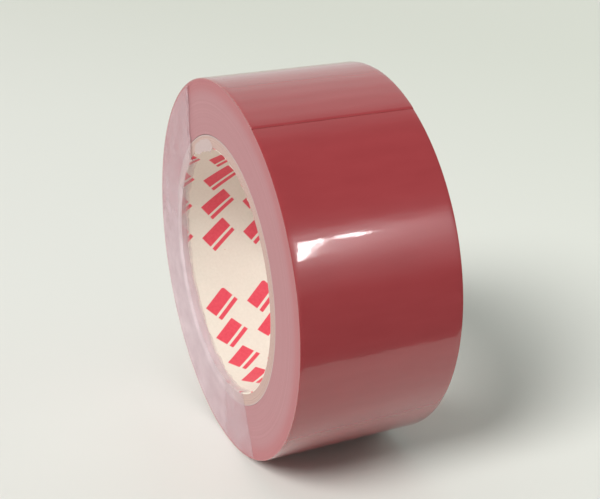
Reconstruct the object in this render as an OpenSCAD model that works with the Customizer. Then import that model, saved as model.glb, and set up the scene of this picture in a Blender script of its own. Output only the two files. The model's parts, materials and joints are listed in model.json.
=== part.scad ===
// Roll of 50 mm self-adhesive vinyl tape on a printed paperboard core, standing on its tread.
// Millimetres. The origin is the centre of the core's bore, +Y is the roll's axis and +Z is up.
// Angles round the roll are measured from straight up (+Z) towards +X.

/* [Tape] */
// Width of the tape, and length of the core
tape_w = 50; // [19:1:100]
// Outside diameter of the full roll
roll_d = 118.3; // [100:0.1:200]
// Thickness of the tape, backing and adhesive together
tape_t = 0.16; // [0.1:0.005:0.4]
// Thickness of the adhesive coating on the underside of the tape
adhesive_t = 0.035; // [0.02:0.005:0.08]

/* [Free end] */
// Length of the tape's end that can be lifted off the roll
free_len = 24; // [10:1:60]
// Place of the tape's end round the roll, in degrees
free_angle = 26.8; // [-60:0.1:60]
// Gap under the end, where it has already come a little loose
free_gap = 0.06; // [0.04:0.01:0.2]

/* [Core] */
// Diameter of the bore through the core
bore_d = 76.2; // [60:0.1:80]
// Thickness of the printed white paper that lines the bore
liner_t = 0.35; // [0.1:0.05:0.6]
// Thickness of one ply of board
ply_t = 0.65; // [0.4:0.05:0.9]
// Thickness of the smooth paper wound over the board
cover_t = 0.3; // [0.1:0.05:0.6]

/* [Side film] */
// Thickness of the clinging film on the near side
film_t = 0.03; // [0.02:0.01:0.06]
// Gap between the film and the side of the roll
film_gap = 0.05; // [0.03:0.01:0.1]
// Distance of the film's outer edge inside the tread
film_inset = 0.5; // [0.3:0.1:3]
// Depth to which the film is tucked into the bore
film_tuck = 3.5; // [1:0.1:3.6]
// Gap between the tucked film and the wall of the bore
tuck_gap = 0.18; // [0.18:0.01:0.25]
// Distance of the film's upright upper edge from the middle of the roll
film_edge_x = 25; // [10:1:36]
// Place of the film's lower end, the line that it peels from, in degrees
film_end_angle = 156; // [120:1:170]

/* [Hidden] */
$fn = 180;

bore_r = bore_d / 2;
ply_count = 5;
board_r = bore_r + liner_t;                       // where the board begins
cover_r = board_r + ply_count * ply_t;            // where the board ends
core_r = cover_r + cover_t;                       // outside of the core
laps_r = roll_d / 2 - 2 * tape_t;                 // lowest radius of the surface under the last lap
free_sweep = free_len / (roll_d / 2) * 180 / PI;  // the free end's length as an angle
backing_t = tape_t - adhesive_t;
film_r = roll_d / 2 - 2 * tape_t - film_inset;
tuck_r = bore_r - tuck_gap;
room = roll_d;                                    // larger than any half of the roll
over = 1;                                         // how far a cutting shape runs past what it cuts

// Turns a shape drawn round Z so that Z lies along the roll's axis, and X points to the given angle.
module round_roll(angle) {
    rotate([-90, 0, 0])
        rotate([0, 0, angle - 90])
            children();
}

// A tube round Z as long as the tape is wide, centred on the origin.
module tube(inside_r, wall) {
    difference() {
        cylinder(r = inside_r + wall, h = tape_w, center = true);
        cylinder(r = inside_r, h = tape_w + 2 * over, center = true);
    }
}

// Half of a disc round Z: the half with y > 0 if side is 1, or y < 0 if side is -1.
module half_disc(r, side) {
    intersection() {
        cylinder(r = r, h = tape_w, center = true);
        translate([0, side * room / 2, 0])
            cube([2 * room, room, 2 * tape_w], center = true);
    }
}

// A stretch of one layer, bent round Z from angle start through sweep.
module bent_strip(r, thickness, start, sweep) {
    rotate([0, 0, start])
        rotate_extrude(angle = sweep)
            translate([r, -tape_w / 2])
                square([thickness, tape_w]);
}

// Each lap is drawn as two half circles, half a lap apart in radius, with their centres
// a quarter of the tape's thickness to either side of the roll's axis.
// So the surface climbs by one thickness a turn, and steps down where the tape ends.
module first_half() {
    translate([-tape_t / 4, 0, 0])
        children();
}

module second_half() {
    translate([tape_t / 4, 0, 0])
        children();
}

// One layer of the last full lap, from height up in the tape's thickness, short of the free end.
module last_lap(height, thickness) {
    first_half()
        bent_strip(laps_r + tape_t / 4 + height, thickness, 0, 180);
    second_half()
        bent_strip(laps_r + 3 * tape_t / 4 + height, thickness, 180, 180 - free_sweep);
}

// One layer of the free end, which the last lap runs into.
module free_end(height, thickness) {
    second_half()
        bent_strip(laps_r + 3 * tape_t / 4 + free_gap + height, thickness, -free_sweep, free_sweep);
}

module core_liner() {
    color("antiquewhite")
        round_roll(0)
            tube(bore_r, liner_t);
}

module core_ply(number) {
    color("tan")
        round_roll(0)
            tube(board_r + (number - 1) * ply_t, ply_t);
}

module core_cover() {
    color("rosybrown")
        round_roll(0)
            tube(cover_r, cover_t);
}

// All the tape under the last lap, wound tight.
module wound_laps() {
    color("indianred")
        round_roll(free_angle)
            difference() {
                union() {
                    first_half()
                        half_disc(laps_r + tape_t / 4, 1);
                    second_half()
                        half_disc(laps_r + 3 * tape_t / 4, -1);
                }
                cylinder(r = core_r, h = tape_w + 2 * over, center = true);
            }
}

module outer_lap_adhesive() {
    color("mistyrose")
        round_roll(free_angle)
            last_lap(0, adhesive_t);
}

module outer_lap_backing() {
    color("firebrick")
        round_roll(free_angle)
            last_lap(adhesive_t, backing_t);
}

module free_end_adhesive() {
    color("mistyrose")
        round_roll(free_angle)
            free_end(0, adhesive_t);
}

module free_end_backing() {
    color("firebrick")
        round_roll(free_angle)
            free_end(adhesive_t, backing_t);
}

// Outline of the film, seen from the near side with X to the right and Z up.
module film_outline() {
    far = 2 * room;
    polygon([
        [-film_edge_x, far],
        [-far, far],
        [-far, -far],
        [far * sin(film_end_angle), far * cos(film_end_angle)],
        [0, 0],
        [-film_edge_x, 0]
    ]);
}

// Clear film that clings to the near side and is tucked round the core's edge into the bore.
module side_film() {
    color("thistle", 0.5)
        intersection() {
            translate([0, -tape_w / 2, 0])
                rotate([90, 0, 0])
                    union() {
                        translate([0, 0, film_gap])
                            difference() {
                                cylinder(r = film_r, h = film_t);
                                translate([0, 0, -over])
                                    cylinder(r = tuck_r - film_t, h = film_t + 2 * over);
                            }
                        translate([0, 0, -film_tuck])
                            difference() {
                                cylinder(r = tuck_r, h = film_tuck + film_gap + film_t);
                                translate([0, 0, -over])
                                    cylinder(r = tuck_r - film_t, h = film_tuck + film_gap + 2 * over);
                            }
                    }
            rotate([90, 0, 0])
                linear_extrude(height = 2 * tape_w, center = true)
                    film_outline();
        }
}

core_liner();
core_ply(1);  // core_ply_1
core_ply(2);  // core_ply_2
core_ply(3);  // core_ply_3
core_ply(4);  // core_ply_4
core_ply(5);  // core_ply_5
core_cover();
wound_laps();
outer_lap_adhesive();
outer_lap_backing();
free_end_adhesive();
free_end_backing();
side_film();
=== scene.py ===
"""A roll of glossy red vinyl tape on a printed paperboard core, standing on a pale studio floor.

The roll's axis is +Y and its near side is at -Y. Angles round the roll run from straight up (+Z) to +X.
"""
import json
import math

import bmesh
import bpy
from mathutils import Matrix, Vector


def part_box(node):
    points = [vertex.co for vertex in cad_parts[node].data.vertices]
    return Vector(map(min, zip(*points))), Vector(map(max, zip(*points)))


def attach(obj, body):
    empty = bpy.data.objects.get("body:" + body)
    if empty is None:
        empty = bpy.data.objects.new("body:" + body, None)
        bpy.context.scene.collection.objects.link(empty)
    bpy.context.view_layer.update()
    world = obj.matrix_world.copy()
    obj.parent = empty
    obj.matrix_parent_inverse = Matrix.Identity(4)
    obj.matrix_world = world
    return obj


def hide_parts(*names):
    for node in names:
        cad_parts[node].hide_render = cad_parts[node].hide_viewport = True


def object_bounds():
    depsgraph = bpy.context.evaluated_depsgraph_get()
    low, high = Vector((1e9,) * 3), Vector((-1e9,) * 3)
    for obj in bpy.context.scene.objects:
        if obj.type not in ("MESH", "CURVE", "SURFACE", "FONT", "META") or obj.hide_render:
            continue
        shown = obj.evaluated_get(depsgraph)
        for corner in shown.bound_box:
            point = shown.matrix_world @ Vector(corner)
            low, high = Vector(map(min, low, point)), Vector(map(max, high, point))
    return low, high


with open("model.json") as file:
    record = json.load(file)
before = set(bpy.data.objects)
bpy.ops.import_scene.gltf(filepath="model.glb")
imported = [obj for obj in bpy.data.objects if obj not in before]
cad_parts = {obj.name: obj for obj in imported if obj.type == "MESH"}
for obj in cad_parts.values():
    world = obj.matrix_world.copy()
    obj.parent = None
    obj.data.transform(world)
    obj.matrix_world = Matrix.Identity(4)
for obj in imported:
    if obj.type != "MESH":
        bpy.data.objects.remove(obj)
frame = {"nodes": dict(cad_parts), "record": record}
cad_low, cad_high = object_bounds()

# ---------------------------------------------------------------- sizes, in metres
MM = 0.001
BORE_R = frame["record"]["mounts"][0]["dims"]["r_mm"] * MM
HALF_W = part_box("core_cover")[1][1]
CORE_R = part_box("core_cover")[1][0]
LINER_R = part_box("core_liner")[1][0]
FLOOR_Z = cad_low[2]

TAPE_T = 0.16 * MM                       # backing and adhesive together
ADHESIVE_T = 0.035 * MM
ROLL_R = 59.15 * MM                      # outside of the roll, where the tape ends
LAPS_R = ROLL_R - 2 * TAPE_T             # lowest radius of the surface under the last lap
END_ANGLE = math.radians(26.8)           # where the tape ends
FREE_LEN = 24 * MM                       # the loose end of the tape
FREE_SWEEP = FREE_LEN / ROLL_R           # the same as an angle
FREE_GAP = 0.06 * MM                     # under the loose end
FILM_T = 0.03 * MM
FILM_GAP = 0.05 * MM                     # between the film and the side of the roll
TUCK_GAP = 0.18 * MM                     # between the tucked film and the wall of the bore
FILM_INSET = 0.5 * MM                    # from the film's outer edge to the tread
FILM_EDGE_X = -25 * MM                   # where the film's upright upper edge is
FILM_END = math.radians(156)             # where its lower end is
FILM_TUCK = 3.5 * MM                     # how far it reaches into the bore
STEP = math.radians(1)                   # one step of a smooth spin
FORWARDS = (0, -1, 0)                    # a spin about this axis goes towards larger angles
BACKWARDS = (0, 1, 0)


# ---------------------------------------------------------------- modelling helpers
def select(test, kind="VERT"):
    """Selects the vertices, edges or faces whose corners all pass the test, and nothing else."""
    bpy.ops.mesh.select_mode(type=kind)
    bpy.ops.mesh.select_all(action="DESELECT")
    mesh = bpy.context.object.data
    shape = bmesh.from_edit_mesh(mesh)
    if kind == "VERT":
        for vert in shape.verts:
            vert.select_set(test(vert.co))
    else:
        for part in shape.edges if kind == "EDGE" else shape.faces:
            part.select_set(all(test(vert.co) for vert in part.verts))
    shape.select_flush_mode()
    bmesh.update_edit_mesh(mesh)


def select_all():
    """Selects the whole mesh."""
    bpy.ops.mesh.select_mode(type="VERT")
    bpy.ops.mesh.select_all(action="SELECT")


def section(name, low_r, high_r, low_y, high_y):
    """A flat rectangle from low_r to high_r along +X, which spins turn into a ring. Left in edit mode."""
    bpy.ops.object.select_all(action="DESELECT")
    middle = Vector(((low_r + high_r) / 2, (low_y + high_y) / 2, 0))
    bpy.ops.mesh.primitive_plane_add(size=1, location=middle)
    piece = bpy.context.object
    piece.name = name
    bpy.ops.object.transform_apply(location=True, rotation=False, scale=False)
    bpy.ops.object.mode_set(mode="EDIT")
    select_all()
    bpy.ops.transform.resize(value=(high_r - low_r, high_y - low_y, 1), center_override=middle)
    return piece


def cut(place, normal):
    """Adds edges right across the section where a plane crosses it."""
    select_all()
    bpy.ops.mesh.bisect(plane_co=place, plane_no=normal, threshold=0.001 * MM)


def shift(test, by):
    """Moves the vertices that pass the test."""
    select(test)
    bpy.ops.transform.translate(value=by)


def near(value, place, tolerance=0.002 * MM):
    """Whether a value is as good as at a place."""
    return abs(value - place) < tolerance


def spin(sweep, axis, centre_x=0.0, step=STEP):
    """Sweeps what is selected round a line through centre_x along the roll's axis."""
    steps = max(1, round(sweep / step))
    bpy.ops.mesh.spin(steps=steps, angle=sweep, center=(centre_x, 0, 0), axis=axis)


def keep_outline():
    """Leaves only the outline of a section, so that a full turn closes on itself."""
    bpy.ops.mesh.select_mode(type="EDGE")
    bpy.ops.mesh.select_all(action="DESELECT")
    mesh = bpy.context.object.data
    for edge in bmesh.from_edit_mesh(mesh).edges:
        edge.select_set(not edge.is_boundary)
    bmesh.update_edit_mesh(mesh)
    bpy.ops.mesh.delete(type="EDGE")
    select_all()
    bpy.ops.mesh.delete(type="ONLY_FACE")


def tidy():
    """Merges doubled vertices and makes every face point outwards."""
    select_all()
    bpy.ops.mesh.remove_doubles(threshold=0.0008 * MM)
    bpy.ops.mesh.normals_make_consistent(inside=False)


def turn_to(piece, angle):
    """Leaves edit mode and turns what was drawn along +X to an angle round the roll."""
    bpy.ops.object.mode_set(mode="OBJECT")
    piece.rotation_euler.y = angle - math.pi / 2
    bpy.ops.object.transform_apply(location=False, rotation=True, scale=False)


def group_where(piece, name, weight):
    """A vertex group whose weights come from a function of a vertex's place."""
    group = piece.vertex_groups.new(name=name)
    for vert in piece.data.vertices:
        amount = weight(vert.co)
        if amount > 0:
            group.add([vert.index], amount, "REPLACE")
    return group.name


def ruffle(piece, direction, strength, size, level=0.5, group=""):
    """Moves a piece's surface by smooth noise, whose lumps are about size across."""
    noise = bpy.data.textures.new(piece.name + "_lumps", "CLOUDS")
    noise.noise_scale = size
    noise.noise_depth = 2
    lumps = piece.modifiers.new("lumps", "DISPLACE")
    lumps.texture = noise
    lumps.texture_coords = "LOCAL"
    lumps.direction = direction
    lumps.strength = strength
    lumps.mid_level = level
    lumps.vertex_group = group
    bpy.ops.object.modifier_apply(modifier=lumps.name)


def finish_piece(piece, body, material, replaces=None, smooth=40):
    """Smooths a piece, gives it its material, and hands it to a body."""
    piece.data.name = piece.name
    bpy.ops.object.shade_smooth_by_angle(angle=math.radians(smooth))
    piece.data.materials.append(material)
    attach(piece, body)
    if replaces:
        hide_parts(replaces)
    return piece


# ---------------------------------------------------------------- material helpers
FACTOR, COLOUR_A, COLOUR_B, COLOUR_OUT = 0, 6, 7, 2    # sockets of a Mix node that mixes colours


def colour(code):
    """An sRGB hex colour as linear red, green, blue and alpha."""
    parts = [int(code[i:i + 2], 16) / 255 for i in (1, 3, 5)]
    linear = [c / 12.92 if c <= 0.04045 else ((c + 0.055) / 1.055) ** 2.4 for c in parts]
    return (*linear, 1.0)


def material(name):
    """A new material with a Principled shader, and the tree and shader to work on."""
    new = bpy.data.materials.new(name)
    new.use_nodes = True
    return new, new.node_tree, new.node_tree.nodes["Principled BSDF"]


def add(tree, kind, settings=None, inputs=None):
    """Adds a node, sets its options, and gives each input a value or another node's output."""
    node = tree.nodes.new(kind)
    for option, value in (settings or {}).items():
        setattr(node, option, value)
    for socket, value in (inputs or {}).items():
        if isinstance(value, bpy.types.NodeSocket):
            tree.links.new(value, node.inputs[socket])
        else:
            node.inputs[socket].default_value = value
    return node


def round_the_roll(tree):
    """A point's radius in mm, place along the axis in mm, angle in degrees, and x, y and z in mm."""
    place = add(tree, "ShaderNodeTexCoord").outputs["Object"]
    in_mm = add(tree, "ShaderNodeVectorMath", {"operation": "SCALE"}, {0: place, "Scale": 1 / MM})
    xyz = add(tree, "ShaderNodeSeparateXYZ", None, {0: in_mm.outputs[0]})
    flat = add(tree, "ShaderNodeCombineXYZ", None, {0: xyz.outputs[0], 2: xyz.outputs[2]})
    radius = add(tree, "ShaderNodeVectorMath", {"operation": "LENGTH"}, {0: flat.outputs[0]})
    turn = add(tree, "ShaderNodeMath", {"operation": "ARCTAN2"}, {0: xyz.outputs[0], 1: xyz.outputs[2]})
    angle = add(tree, "ShaderNodeMath", {"operation": "DEGREES"}, {0: turn.outputs[0]})
    return radius.outputs["Value"], xyz.outputs[1], angle.outputs[0], in_mm.outputs[0]


# ---------------------------------------------------------------- materials
def gloss_vinyl():
    """Calendered PVC film, soft and glossy: a clear bright gloss, with faint ripples from its winding."""
    new, tree, shader = material("calendered_pvc_gloss_red")
    _, along, angle, _ = round_the_roll(tree)
    tread_r = 59.0                           # in mm
    travel = add(tree, "ShaderNodeMath", {"operation": "MULTIPLY"}, {0: angle, 1: math.radians(tread_r)})
    sheet = add(tree, "ShaderNodeCombineXYZ", None, {0: travel.outputs[0], 1: along})

    # Soft lengthwise and crosswise waves, 3 to 12 mm long.
    wide = add(tree, "ShaderNodeMapping", None, {"Vector": sheet.outputs[0], "Scale": (0.28, 0.07, 1)})
    waves = add(tree, "ShaderNodeTexNoise", {"noise_dimensions": "2D"},
                {"Vector": wide.outputs[0], "Scale": 1.0, "Detail": 2.0, "Roughness": 0.45})
    fine = add(tree, "ShaderNodeTexNoise", {"noise_dimensions": "2D"},
               {"Vector": sheet.outputs[0], "Scale": 0.9, "Detail": 3.0, "Roughness": 0.55})
    low = add(tree, "ShaderNodeBump", None, {"Strength": 1.0, "Distance": 0.03 * MM,
                                             "Height": waves.outputs["Fac"]})
    bump = add(tree, "ShaderNodeBump", None, {"Strength": 1.0, "Distance": 0.005 * MM,
                                              "Height": fine.outputs["Fac"], "Normal": low.outputs[0]})
    tint = add(tree, "ShaderNodeMix", {"data_type": "RGBA"},
               {FACTOR: waves.outputs["Fac"], COLOUR_A: colour("#963237"), COLOUR_B: colour("#9E383D")})
    tree.links.new(tint.outputs[COLOUR_OUT], shader.inputs["Base Color"])
    tree.links.new(bump.outputs[0], shader.inputs["Normal"])
    tree.links.new(bump.outputs[0], shader.inputs["Coat Normal"])
    shader.inputs["Roughness"].default_value = 0.24
    shader.inputs["IOR"].default_value = 1.54
    shader.inputs["Coat Weight"].default_value = 0.85
    shader.inputs["Coat Roughness"].default_value = 0.05
    shader.inputs["Coat IOR"].default_value = 1.5
    return new


def slit_vinyl():
    """The slit edges of a hundred laps of PVC film: dull and pale, in rings that stand a little in or out.

    The outside of the last of these laps, which shows when the tape's end is lifted, is glossy.
    """
    new, tree, shader = material("slit_pvc_edges")
    radius, _, _, _ = round_the_roll(tree)
    # Rings are drawn 0.7 mm wide, because single laps of 0.16 mm are too fine to show.
    rings = add(tree, "ShaderNodeTexNoise", {"noise_dimensions": "1D"},
                {"W": radius, "Scale": 1.4, "Detail": 4.0, "Roughness": 0.6})
    ringed = add(tree, "ShaderNodeMix", {"data_type": "RGBA"},
                 {FACTOR: rings.outputs["Fac"], COLOUR_A: colour("#9F6A6F"), COLOUR_B: colour("#AE7A7F")})
    outer = add(tree, "ShaderNodeMapRange", {"interpolation_type": "SMOOTHSTEP"},
                {"Value": radius, "From Min": 53.0, "From Max": 57.5, "To Min": 0.0, "To Max": 0.6})
    banded = add(tree, "ShaderNodeMix", {"data_type": "RGBA"},
                 {FACTOR: outer.outputs[0], COLOUR_A: ringed.outputs[COLOUR_OUT],
                  COLOUR_B: colour("#A4555A")})
    bump = add(tree, "ShaderNodeBump", None, {"Strength": 1.0, "Distance": 0.04 * MM,
                                              "Height": rings.outputs["Fac"]})
    inside_tread = 58.72                     # a radius in mm, just under the outside of these laps
    tread = add(tree, "ShaderNodeMath", {"operation": "GREATER_THAN"}, {0: radius, 1: inside_tread})
    tone = add(tree, "ShaderNodeMix", {"data_type": "RGBA"},
               {FACTOR: tread.outputs[0], COLOUR_A: banded.outputs[COLOUR_OUT],
                COLOUR_B: colour("#9A353A")})
    rough = add(tree, "ShaderNodeMapRange", None, {"Value": tread.outputs[0], "To Min": 0.5, "To Max": 0.24})
    coat = add(tree, "ShaderNodeMath", {"operation": "MULTIPLY"}, {0: tread.outputs[0], 1: 0.85})
    tree.links.new(tone.outputs[COLOUR_OUT], shader.inputs["Base Color"])
    tree.links.new(rough.outputs[0], shader.inputs["Roughness"])
    tree.links.new(coat.outputs[0], shader.inputs["Coat Weight"])
    tree.links.new(bump.outputs[0], shader.inputs["Normal"])
    shader.inputs["Coat Roughness"].default_value = 0.05
    shader.inputs["IOR"].default_value = 1.54
    return new


def printed_liner():
    """White clay-coated paper printed with plain red lozenges: a soft sheen, with faint fibres."""
    new, tree, shader = material("clay_coated_paper_printed")
    _, along, angle, place = round_the_roll(tree)
    pitch = 17.05                            # degrees from one lozenge to the next
    first = -95.9                            # where the first lozenge of a row is, in degrees
    drift = -0.0090                          # how far a row slants along the axis, in mm a degree
    row_place, row_spacing = -12.2, 14.9     # along the axis, in mm
    side_a, side_b = (5.26, -4.17), (6.37, 7.70)     # two sides of a lozenge, round and along, in mm
    stripe_place, stripe_half = -0.22, 0.055         # the plain stripe, as shares of side_a
    wall_r = 38.1                            # radius of the bore, in mm
    lead_in, lead_out = -8.7, 332.0          # where the print begins and ends, in degrees from first
    overlap = 18.0                           # degrees counted as before the first lozenge
    area = side_a[0] * side_b[1] - side_a[1] * side_b[0]

    # The print starts and ends at the paper's seam, so the angle is counted on from the seam.
    begun = add(tree, "ShaderNodeMath", {"operation": "SUBTRACT"}, {0: angle, 1: first - overlap})
    wrapped = add(tree, "ShaderNodeMath", {"operation": "WRAP"}, {0: begun.outputs[0], 1: 360.0, 2: 0.0})
    count = add(tree, "ShaderNodeMath", {"operation": "SUBTRACT"}, {0: wrapped.outputs[0], 1: overlap})
    across = add(tree, "ShaderNodeMath", {"operation": "WRAP"},
                 {0: count.outputs[0], 1: pitch / 2, 2: -pitch / 2})
    travel = add(tree, "ShaderNodeMath", {"operation": "MULTIPLY"},
                 {0: across.outputs[0], 1: math.radians(wall_r)})
    sloped = add(tree, "ShaderNodeMath", {"operation": "MULTIPLY_ADD"},
                 {0: count.outputs[0], 1: -drift, 2: along})
    depth = add(tree, "ShaderNodeMath", {"operation": "WRAP"},
                {0: sloped.outputs[0], 1: row_place + row_spacing / 2, 2: row_place - row_spacing / 2})
    centred = add(tree, "ShaderNodeMath", {"operation": "SUBTRACT"},
                  {0: depth.outputs[0], 1: row_place})

    inside = None
    for along_x, along_y in ((side_b[1], -side_b[0]), (-side_a[1], side_a[0])):
        part_x = add(tree, "ShaderNodeMath", {"operation": "MULTIPLY"},
                     {0: travel.outputs[0], 1: along_x / area})
        part = add(tree, "ShaderNodeMath", {"operation": "MULTIPLY_ADD"},
                   {0: centred.outputs[0], 1: along_y / area, 2: part_x.outputs[0]})
        size = add(tree, "ShaderNodeMath", {"operation": "ABSOLUTE"}, {0: part.outputs[0]})
        edge = add(tree, "ShaderNodeMapRange", None,
                   {"Value": size.outputs[0], "From Min": 0.485, "From Max": 0.515,
                    "To Min": 1.0, "To Max": 0.0})
        if inside is None:
            inside = edge.outputs[0]
            off_stripe = add(tree, "ShaderNodeMath", {"operation": "SUBTRACT"},
                             {0: part.outputs[0], 1: stripe_place})
            from_stripe = add(tree, "ShaderNodeMath", {"operation": "ABSOLUTE"}, {0: off_stripe.outputs[0]})
            solid = add(tree, "ShaderNodeMapRange", None,
                        {"Value": from_stripe.outputs[0], "From Min": stripe_half,
                         "From Max": stripe_half + 0.025})
        else:
            both = add(tree, "ShaderNodeMath", {"operation": "MULTIPLY"}, {0: inside, 1: edge.outputs[0]})
            inside = both.outputs[0]
    last = add(tree, "ShaderNodeMath", {"operation": "LESS_THAN"}, {0: count.outputs[0], 1: lead_out})
    before = add(tree, "ShaderNodeMath", {"operation": "GREATER_THAN"}, {0: count.outputs[0], 1: lead_in})
    printed = add(tree, "ShaderNodeMath", {"operation": "MULTIPLY"},
                  {0: last.outputs[0], 1: before.outputs[0]})
    striped = add(tree, "ShaderNodeMath", {"operation": "MULTIPLY"}, {0: inside, 1: solid.outputs[0]})
    ink = add(tree, "ShaderNodeMath", {"operation": "MULTIPLY"},
              {0: striped.outputs[0], 1: printed.outputs[0]})

    blots = add(tree, "ShaderNodeTexNoise", None, {"Vector": place, "Scale": 1.1, "Detail": 3.0})
    reds = add(tree, "ShaderNodeMix", {"data_type": "RGBA"},
               {FACTOR: blots.outputs["Fac"], COLOUR_A: colour("#D83A4E"), COLOUR_B: colour("#E85C6C")})
    papers = add(tree, "ShaderNodeMix", {"data_type": "RGBA"},
                 {FACTOR: blots.outputs["Fac"], COLOUR_A: colour("#DFD8CC"), COLOUR_B: colour("#EBE5DA")})
    inked = add(tree, "ShaderNodeMix", {"data_type": "RGBA"},
                {FACTOR: ink.outputs[0], COLOUR_A: papers.outputs[COLOUR_OUT],
                 COLOUR_B: reds.outputs[COLOUR_OUT]})
    fibres = add(tree, "ShaderNodeTexNoise", None, {"Vector": place, "Scale": 2.5, "Detail": 4.0})
    bump = add(tree, "ShaderNodeBump", None, {"Strength": 1.0, "Distance": 0.01 * MM,
                                              "Height": fibres.outputs["Fac"]})
    tree.links.new(inked.outputs[COLOUR_OUT], shader.inputs["Base Color"])
    tree.links.new(bump.outputs[0], shader.inputs["Normal"])
    shader.inputs["Roughness"].default_value = 0.45
    shader.inputs["IOR"].default_value = 1.5
    return new


def core_board():
    """Recycled grey paperboard, cut across: dull and fibrous, with darker and paler specks."""
    new, tree, shader = material("recycled_paperboard")
    radius, _, _, place = round_the_roll(tree)
    # Fibres are drawn 0.5 mm long, because the real ones are too fine to show.
    fibres = add(tree, "ShaderNodeTexNoise", None, {"Vector": place, "Scale": 2.0, "Detail": 5.0})
    plies = add(tree, "ShaderNodeTexNoise", {"noise_dimensions": "1D"}, {"W": radius, "Scale": 3.0})
    mixed = add(tree, "ShaderNodeMath", {"operation": "ADD"},
                {0: fibres.outputs["Fac"], 1: plies.outputs["Fac"]})
    spread = add(tree, "ShaderNodeMapRange", None,
                 {"Value": mixed.outputs[0], "From Min": 0.6, "From Max": 1.4})
    tone = add(tree, "ShaderNodeMix", {"data_type": "RGBA"},
               {FACTOR: spread.outputs[0], COLOUR_A: colour("#A88C86"), COLOUR_B: colour("#C5A89F")})
    bump = add(tree, "ShaderNodeBump", None, {"Strength": 1.0, "Distance": 0.12 * MM,
                                              "Height": mixed.outputs[0]})
    tree.links.new(tone.outputs[COLOUR_OUT], shader.inputs["Base Color"])
    tree.links.new(bump.outputs[0], shader.inputs["Normal"])
    shader.inputs["Roughness"].default_value = 0.9
    return new


def cover_paper():
    """Smooth kraft paper, bleached: pale and matt, with faint fibres."""
    new, tree, shader = material("bleached_kraft_paper")
    _, _, _, place = round_the_roll(tree)
    fibres = add(tree, "ShaderNodeTexNoise", None, {"Vector": place, "Scale": 1.6, "Detail": 4.0})
    tone = add(tree, "ShaderNodeMix", {"data_type": "RGBA"},
               {FACTOR: fibres.outputs["Fac"], COLOUR_A: colour("#AE9A98"), COLOUR_B: colour("#BFACAA")})
    bump = add(tree, "ShaderNodeBump", None, {"Strength": 1.0, "Distance": 0.03 * MM,
                                              "Height": fibres.outputs["Fac"]})
    tree.links.new(tone.outputs[COLOUR_OUT], shader.inputs["Base Color"])
    tree.links.new(bump.outputs[0], shader.inputs["Normal"])
    shader.inputs["Roughness"].default_value = 0.75
    return new


def tape_adhesive():
    """Acrylic pressure-sensitive adhesive on red film: pale, wet-looking and finely rippled."""
    new, tree, shader = material("acrylic_adhesive")
    _, _, _, place = round_the_roll(tree)
    ripples = add(tree, "ShaderNodeTexNoise", None, {"Vector": place, "Scale": 0.8, "Detail": 4.0})
    tone = add(tree, "ShaderNodeMix", {"data_type": "RGBA"},
               {FACTOR: ripples.outputs["Fac"], COLOUR_A: colour("#C77F7C"), COLOUR_B: colour("#D8A19C")})
    bump = add(tree, "ShaderNodeBump", None, {"Strength": 1.0, "Distance": 0.06 * MM,
                                              "Height": ripples.outputs["Fac"]})
    tree.links.new(tone.outputs[COLOUR_OUT], shader.inputs["Base Color"])
    tree.links.new(bump.outputs[0], shader.inputs["Normal"])
    shader.inputs["Roughness"].default_value = 0.25
    return new


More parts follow.
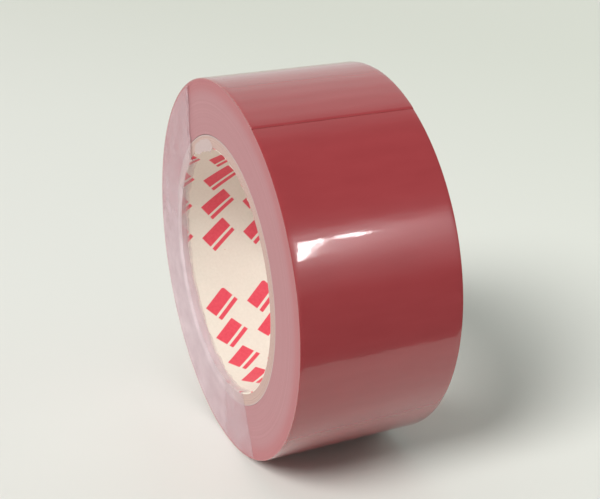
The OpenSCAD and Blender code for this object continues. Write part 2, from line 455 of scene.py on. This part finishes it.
def clinging_film():
    """Thin polyethylene film, milky with a lilac tint: half clear, with a soft sheen and fine creases."""
    new, tree, shader = material("polyethylene_film_milky")
    radius, along, angle, place = round_the_roll(tree)
    around = add(tree, "ShaderNodeMath", {"operation": "WRAP"}, {0: angle, 1: 360.0, 2: 0.0})
    haze = add(tree, "ShaderNodeTexNoise", None, {"Vector": place, "Scale": 0.12, "Detail": 4.0})
    streaks = add(tree, "ShaderNodeTexNoise", {"noise_dimensions": "2D"},
                  {"Vector": add(tree, "ShaderNodeCombineXYZ", None,
                                 {0: radius, 1: around.outputs[0]}).outputs[0],
                   "Scale": 0.5, "Detail": 2.0})
    # The film is stretched thin near its upper edge and lies in more than one layer low on the left.
    lower = add(tree, "ShaderNodeMapRange", {"interpolation_type": "SMOOTHSTEP"},
                {"Value": around.outputs[0], "From Min": 150.0, "From Max": 215.0,
                 "To Min": 0.16, "To Max": 0.5})
    upper = add(tree, "ShaderNodeMapRange", {"interpolation_type": "SMOOTHSTEP"},
                {"Value": around.outputs[0], "From Min": 235.0, "From Max": 305.0,
                 "To Min": 1.0, "To Max": 0.4})
    thick = add(tree, "ShaderNodeMath", {"operation": "MULTIPLY"},
                {0: lower.outputs[0], 1: upper.outputs[0]})
    mottled = add(tree, "ShaderNodeMapRange", None,
                  {"Value": haze.outputs["Fac"], "From Min": 0.3, "From Max": 0.7,
                   "To Min": -0.07, "To Max": 0.07})
    flat = add(tree, "ShaderNodeMath", {"operation": "ADD"},
               {0: thick.outputs[0], 1: mottled.outputs[0]})
    # It gathers white over the core's edge, and thins out again to the bottom of the tuck.
    gathered = add(tree, "ShaderNodeMapRange", {"interpolation_type": "SMOOTHSTEP"},
                   {"Value": radius, "From Min": 43.0, "From Max": 40.0, "To Min": 1.0, "To Max": 1.4})
    ragged = add(tree, "ShaderNodeMath", {"operation": "MULTIPLY_ADD"},
                 {0: haze.outputs["Fac"], 1: 3.0, 2: along})
    tucked = add(tree, "ShaderNodeMapRange", {"interpolation_type": "SMOOTHSTEP"},
                 {"Value": ragged.outputs[0], "From Min": -22.9, "From Max": -20.2,
                  "To Min": 1.0, "To Max": 0.05})
    white = add(tree, "ShaderNodeMath", {"operation": "MULTIPLY"},
                {0: flat.outputs[0], 1: gathered.outputs[0]})
    cloudy = add(tree, "ShaderNodeMath", {"operation": "MULTIPLY"},
                 {0: white.outputs[0], 1: tucked.outputs[0]})
    bump = add(tree, "ShaderNodeBump", None, {"Strength": 1.0, "Distance": 0.06 * MM,
                                              "Height": streaks.outputs["Fac"]})
    tint = add(tree, "ShaderNodeMix", {"data_type": "RGBA"},
               {FACTOR: haze.outputs["Fac"], COLOUR_A: colour("#DAC5CC"), COLOUR_B: colour("#E8D5DB")})
    tree.links.new(tint.outputs[COLOUR_OUT], shader.inputs["Base Color"])
    tree.links.new(cloudy.outputs[0], shader.inputs["Alpha"])
    tree.links.new(bump.outputs[0], shader.inputs["Normal"])
    shader.inputs["Roughness"].default_value = 0.42
    shader.inputs["IOR"].default_value = 1.51
    return new


def studio_floor():
    """Matt seamless paper, warm white, with painted shade that greys it towards the far corner of the room,
    where the light falls off.
    """
    new, tree, shader = material("seamless_paper_white")
    place = add(tree, "ShaderNodeTexCoord").outputs["Object"]
    grain = add(tree, "ShaderNodeTexNoise", None, {"Vector": place, "Scale": 6.0, "Detail": 2.0})
    tone = add(tree, "ShaderNodeMix", {"data_type": "RGBA"},
               {FACTOR: grain.outputs["Fac"], COLOUR_A: colour("#DADBD7"), COLOUR_B: colour("#DCDDD9")})
    # Painted shade: the colour is mixed towards a grey the farther a point lies towards the far corner,
    # standing in for the light falling off there.
    away = add(tree, "ShaderNodeVectorMath", {"operation": "DOT_PRODUCT"},
               {0: place, 1: (-0.45, 0.9, 0.0)})
    far = add(tree, "ShaderNodeMapRange", {"interpolation_type": "SMOOTHSTEP"},
              {"Value": away.outputs["Value"], "From Min": -0.1, "From Max": 0.6})
    shaded = add(tree, "ShaderNodeMix", {"data_type": "RGBA"},
                 {FACTOR: far.outputs[0], COLOUR_A: tone.outputs[COLOUR_OUT], COLOUR_B: colour("#CBCEC6")})
    tree.links.new(shaded.outputs[COLOUR_OUT], shader.inputs["Base Color"])
    shader.inputs["Roughness"].default_value = 0.8
    return new


GLOSS = gloss_vinyl()
SLIT = slit_vinyl()
LINER = printed_liner()
BOARD = core_board()
COVER = cover_paper()
ADHESIVE = tape_adhesive()
FILM = clinging_film()


# ---------------------------------------------------------------- the wound tape
def crown_edges(outer_r):
    """Rolls over the outer edges of the tape, as slitting leaves them, with a slight ridge inside."""
    for inset, rise in ((2.6, 0.0), (1.5, 0.025), (0.8, 0.0), (0.3, -0.05)):
        for side in (-1, 1):
            place = side * (HALF_W - inset * MM)
            cut((0, place, 0), (0, 1, 0))
            if rise:
                shift(lambda co: near(co.y, place) and near(co.x, outer_r, 0.03 * MM), (rise * MM, 0, 0))
    shift(lambda co: near(abs(co.y), HALF_W) and near(co.x, outer_r, 0.03 * MM), (-0.09 * MM, 0, 0))


def last_lap():
    """The vinyl of the last full lap, up to where its loose end begins."""
    low = LAPS_R + ADHESIVE_T
    high = LAPS_R + TAPE_T
    piece = section("last_lap_vinyl", low, high, -HALF_W, HALF_W)
    crown_edges(high)
    select_all()
    spin(math.pi, FORWARDS, -TAPE_T / 4)
    spin(math.pi - FREE_SWEEP, FORWARDS, TAPE_T / 4)
    tidy()
    turn_to(piece, END_ANGLE)
    return finish_piece(piece, "roll", GLOSS, "outer_lap_backing")


def loose_end():
    """The vinyl of the tape's loose end, which lies in low waves on the lap below it."""
    low = LAPS_R + TAPE_T + FREE_GAP + ADHESIVE_T
    high = low + TAPE_T - ADHESIVE_T
    piece = section("loose_end_vinyl", low, high, -HALF_W, HALF_W)
    crown_edges(high)
    select_all()
    spin(FREE_SWEEP, BACKWARDS, TAPE_T / 4)
    rows = round(FREE_SWEEP / STEP)
    wave_rows, wave_height = 5, 0.035 * MM
    for row in range(1, rows):
        angle = row * FREE_SWEEP / rows
        rise = wave_height * (0.5 - 0.5 * math.cos(2 * math.pi * row / wave_rows))
        out = Vector((math.cos(angle), 0, math.sin(angle)))
        side = Vector((-math.sin(angle), 0, math.cos(angle)))
        shift(lambda co: abs(co.dot(side)) < 0.2 * MM and co.dot(out) > 0, out * rise)
    slant = 0.6 * MM
    shift(lambda co: near(co.z, 0) and near(co.x, high, 0.1 * MM), (0, 0, slant))
    tidy()
    turn_to(piece, END_ANGLE)
    return finish_piece(piece, "tape_end", GLOSS, "free_end_backing")


def wound_body():
    """All the laps under the last, whose sides stand in and out in rings."""
    piece = section("wound_laps_rings", CORE_R, LAPS_R, -HALF_W, HALF_W)
    rings = 23
    for ring in range(1, rings):
        place = CORE_R + (LAPS_R - CORE_R) * (ring + 0.3 * math.sin(2.4 * ring)) / rings
        cut((place, 0, 0), (1, 0, 0))
        for side in (-1, 1):
            out = 0.018 * (math.sin(1.9 * ring + side) + math.sin(4.3 * ring))
            shift(lambda co: near(co.x, place) and near(co.y, side * HALF_W), (0, side * out * MM, 0))
    select_all()
    spin(math.pi, FORWARDS, -TAPE_T / 4)
    spin(math.pi, FORWARDS, TAPE_T / 4)
    tidy()
    turn_to(piece, END_ANGLE)
    return finish_piece(piece, "roll", SLIT, "wound_laps", smooth=25)


# ---------------------------------------------------------------- the core
def liner():
    """The printed paper in the bore, with a ragged edge at the near end."""
    piece = section("core_liner_printed", BORE_R, LINER_R, -HALF_W, HALF_W)
    edge_band = 0.5 * MM
    cut((0, -HALF_W + edge_band, 0), (0, 1, 0))
    cut((0, HALF_W - edge_band, 0), (0, 1, 0))
    keep_outline()
    select_all()
    spin(2 * math.pi, FORWARDS, step=STEP / 2)
    tidy()
    bpy.ops.object.mode_set(mode="OBJECT")
    edge = group_where(piece, "near_edge", lambda co: 1.0 if co.y < -HALF_W + 0.1 * MM else 0.0)
    ruffle(piece, "Y", 0.5 * MM, 1.2 * MM, level=0.15, group=edge)
    piece.vertex_groups.clear()
    return finish_piece(piece, "roll", LINER, "core_liner")


def torn_scrap():
    """A scrap of the cut paper, still stuck over the near end of the core."""
    piece = section("core_end_torn_scrap", 36.9 * MM, 40.6 * MM, -HALF_W - 0.04 * MM, -HALF_W - 0.01 * MM)
    for place in (37.5, 38.2, 38.9, 39.6, 40.1):
        cut((place * MM, 0, 0), (1, 0, 0))
    select_all()
    sweep = math.radians(26)
    spin(sweep, FORWARDS)
    middle = 38.75 * MM
    # Its two ends are drawn in towards the middle of its width, as torn paper is.
    for end in (0.0, sweep):
        for inset, width in ((0, 0.15), (1, 0.45), (2, 0.7), (3, 0.88)):
            angle = abs(end - inset * STEP)
            centre = Vector((middle * math.cos(angle), 0, -middle * math.sin(angle)))
            side = Vector((math.sin(angle), 0, math.cos(angle)))
            select(lambda co: abs(co.dot(side)) < 0.02 * MM and co.dot(centre) > 0)
            bpy.ops.transform.resize(value=(width, 1, width), center_override=centre)
    tidy()
    turn_to(piece, math.radians(-34))
    ruffle(piece, "X", 0.8 * MM, 2 * MM)
    ruffle(piece, "Z", 0.8 * MM, 1.7 * MM)
    return finish_piece(piece, "roll", COVER)


# ---------------------------------------------------------------- the film on the near side
def side_film():
    """Film that clings to the near side and is tucked round the core's edge into the bore."""
    inner = BORE_R - TUCK_GAP - FILM_T
    wall = inner + FILM_T
    outer = LAPS_R - FILM_INSET
    front = -HALF_W - FILM_GAP - FILM_T
    back = -HALF_W - FILM_GAP
    piece = section("side_film_sheet", inner, outer, front, back)
    cut((wall, 0, 0), (1, 0, 0))
    select(lambda co: near(co.y, back) and co.x < wall + 0.002 * MM, "EDGE")
    bpy.ops.mesh.extrude_region_move(TRANSFORM_OT_translate={"value": (0, FILM_TUCK, 0)})
    for place in range(39, 59):
        cut((place * MM, 0, 0), (1, 0, 0))
    select_all()
    start = math.radians(-12)
    spin(start + 2 * math.pi - FILM_END, BACKWARDS)
    tidy()
    turn_to(piece, start)
    bpy.ops.object.mode_set(mode="EDIT")
    select(lambda co: co.z > 0)
    bpy.ops.mesh.bisect(plane_co=(FILM_EDGE_X, 0, 0), plane_no=(1, 0, 0), clear_outer=True, use_fill=True,
                        threshold=0.001 * MM)
    tidy()
    select(lambda co: near(co.x, FILM_EDGE_X) and co.z > 0, "FACE")
    bpy.ops.mesh.extrude_region_move(TRANSFORM_OT_translate={"value": (0.3 * MM, -0.25 * MM, 0)})
    bpy.ops.mesh.extrude_region_move(TRANSFORM_OT_translate={"value": (0.0, -0.45 * MM, 0)})
    bpy.ops.object.mode_set(mode="OBJECT")

    def at_edge(co):
        return max(0.0, 1 - (FILM_EDGE_X - co.x) / (4 * MM)) if co.z > 0 else 0.0

    edge = group_where(piece, "upper_edge", at_edge)
    ruffle(piece, "X", 3.5 * MM, 6 * MM, group=edge)
    ruffle(piece, "Y", -0.5 * MM, 5 * MM, level=0.0, group=edge)
    flat = group_where(piece, "sheet", lambda co: 1.0 if co.y < back + 0.01 * MM else 0.0)
    ruffle(piece, "Y", -0.05 * MM, 4 * MM, level=0.0, group=flat)
    lip = group_where(piece, "lip", lambda co: 1.0 if co.y > back + 1 * MM else 0.0)
    ruffle(piece, "Y", -1.6 * MM, 4 * MM, level=0.0, group=lip)
    piece.vertex_groups.clear()
    return finish_piece(piece, "film", FILM, "side_film", smooth=60)


last_lap()
loose_end()
wound_body()
liner()
torn_scrap()
side_film()


# ---------------------------------------------------------------- finishes of the CAD nodes
def finish_node(name, finish):
    """Gives a CAD node its finish."""
    node = frame["nodes"][name]
    node.data.materials.clear()
    node.data.materials.append(finish)


for ply in range(1, 6):
    finish_node("core_ply_" + str(ply), BOARD)
finish_node("core_cover", COVER)
finish_node("outer_lap_adhesive", ADHESIVE)
finish_node("free_end_adhesive", ADHESIVE)


# ---------------------------------------------------------------- studio
def floor():
    """The studio's floor, which the roll stands on."""
    bpy.ops.object.select_all(action="DESELECT")
    bpy.ops.mesh.primitive_plane_add(size=30, location=(0, 0, FLOOR_Z))
    ground = bpy.context.object
    ground.name = "studio_floor"
    ground.data.materials.append(studio_floor())


def softbox(name, place, target, width, height, power, tone):
    """A rectangular lamp at a place, facing a target, which doesn't show in gloss."""
    lamp = bpy.data.lights.new(name, "AREA")
    lamp.shape = "RECTANGLE"
    lamp.size = width
    lamp.size_y = height
    lamp.energy = power
    lamp.color = colour(tone)[:3]
    holder = bpy.data.objects.new(name, lamp)
    holder.location = place
    aim = Vector(target) - Vector(place)
    holder.rotation_euler = aim.to_track_quat("-Z", "Y").to_euler()
    holder.visible_glossy = False
    bpy.context.scene.collection.objects.link(holder)


def key_light():
    """Broad soft daylight from high on the near side, which falls evenly on all of the floor."""
    lamp = bpy.data.lights.new("key_daylight", "SUN")
    lamp.energy = 3.2
    lamp.angle = math.radians(26)
    lamp.color = colour("#FFFDFA")[:3]
    holder = bpy.data.objects.new("key_daylight", lamp)
    shines = Vector((-0.64, 1.50, -1.62))
    holder.rotation_euler = shines.to_track_quat("-Z", "Y").to_euler()
    bpy.context.scene.collection.objects.link(holder)


def reflector(name, place, across, up, brightness, tone="#FFFFFF"):
    """A flat card that shows only in gloss: its middle, its two half sides, and how bright it is."""
    bpy.ops.object.select_all(action="DESELECT")
    bpy.ops.mesh.primitive_plane_add(size=2, location=(0, 0, 0))
    card = bpy.context.object
    card.name = name
    across, up, place = Vector(across), Vector(up), Vector(place)
    for vert in card.data.vertices:
        vert.co = place + across * vert.co.x + up * vert.co.y
    new, tree, shader = material(name + "_card")
    shader.inputs["Base Color"].default_value = colour("#000000")
    shader.inputs["Specular IOR Level"].default_value = 0.0
    shader.inputs["Emission Color"].default_value = colour(tone)
    shader.inputs["Emission Strength"].default_value = brightness
    card.data.materials.append(new)
    card.visible_camera = False
    card.visible_diffuse = False
    card.visible_shadow = False
    card.visible_transmission = False
    return card


def window_band():
    """A window low on the far side, brightest across its middle."""
    card = reflector("window_band", (0.56, 0.30, 0.225), (0, 0.26, 0), (0, 0, 0.285), 1.0)
    tree = card.data.materials[0].node_tree
    shader = tree.nodes["Principled BSDF"]
    place = add(tree, "ShaderNodeTexCoord").outputs["Object"]
    height = add(tree, "ShaderNodeSeparateXYZ", None, {0: place}).outputs[2]
    above = add(tree, "ShaderNodeMapRange", {"interpolation_type": "SMOOTHSTEP"},
                {"Value": height, "From Min": 0.50, "From Max": 0.335, "To Min": 0.16, "To Max": 1.0})
    below = add(tree, "ShaderNodeMapRange", None,
                {"Value": height, "From Min": 0.03, "From Max": 0.335, "To Min": 0.06, "To Max": 1.0})
    both = add(tree, "ShaderNodeMath", {"operation": "MULTIPLY"}, {0: above.outputs[0], 1: below.outputs[0]})
    bright = add(tree, "ShaderNodeMath", {"operation": "MULTIPLY"}, {0: both.outputs[0], 1: 1.35})
    tree.links.new(bright.outputs[0], shader.inputs["Emission Strength"])


def surroundings():
    """A room that is pale behind the roll and round the horizon, and darker overhead and in front."""
    world = bpy.data.worlds.new("pale_room")
    world.use_nodes = True
    tree = world.node_tree
    way = add(tree, "ShaderNodeTexCoord").outputs["Generated"]
    parts = add(tree, "ShaderNodeSeparateXYZ", None, {0: way})
    behind = add(tree, "ShaderNodeMapRange", {"interpolation_type": "SMOOTHSTEP"},
                 {"Value": parts.outputs[0], "From Min": -0.03, "From Max": -0.50,
                  "To Min": 0.19, "To Max": 0.80})
    low = add(tree, "ShaderNodeMapRange", {"interpolation_type": "SMOOTHSTEP"},
              {"Value": parts.outputs[2], "From Min": 0.32, "From Max": 0.04,
               "To Min": 0.0, "To Max": 0.72})
    bright = add(tree, "ShaderNodeMath", {"operation": "MAXIMUM"}, {0: behind.outputs[0], 1: low.outputs[0]})
    background = tree.nodes["Background"]
    background.inputs["Color"].default_value = colour("#F6F8F4")
    tree.links.new(bright.outputs[0], background.inputs["Strength"])
    bpy.context.scene.world = world


def camera():
    """A short telephoto lens, a little above the roll and in front of its tread."""
    lens = bpy.data.cameras.new("main_camera")
    lens.lens = 69.6
    lens.sensor_width = 36
    lens.clip_start = 0.01
    holder = bpy.data.objects.new("main_camera", lens)
    azimuth = math.radians(65.9)
    elevation = math.radians(22.89)
    distance = 0.366
    away = Vector((math.sin(azimuth) * math.cos(elevation), -math.cos(azimuth) * math.cos(elevation),
                   math.sin(elevation)))
    target = Vector((-0.0003, 0.0014, 0.0025))
    holder.location = target + away * distance
    holder.rotation_euler = (-away).to_track_quat("-Z", "Y").to_euler()
    bpy.context.scene.collection.objects.link(holder)
    bpy.context.scene.camera = holder


floor()
surroundings()
camera()
key_light()
softbox("front_fill_light", (0.95, 0.15, 0.22), (0, 0, -0.03), 0.9, 0.45, 0.4, "#C8F4E6")
softbox("far_fill_light", (0.25, 1.0, 0.6), (0, 0.1, -0.03), 0.9, 0.6, 2.0, "#E4F8EE")
# A faint dark card that shows only in gloss: a painted dark reflection of the floor in front of the roll,
# seen low on the front of the tread.
reflector("painted_dark_reflection_ahead", (0.63, 0.2, FLOOR_Z + 0.0005), (0.509, 0, 0), (0, 1.2, 0), 0.09)
window_band()
reflector("window_glint_long", (0.55, 0.224, 0.298), (0, 0.0075, 0), (0, 0.022, 0.060), 44)
reflector("window_glint_short", (0.55, 0.272, 0.350), (0, 0.009, 0), (0, 0.003, 0.013), 44)
bpy.context.scene.view_settings.view_transform = "Standard"
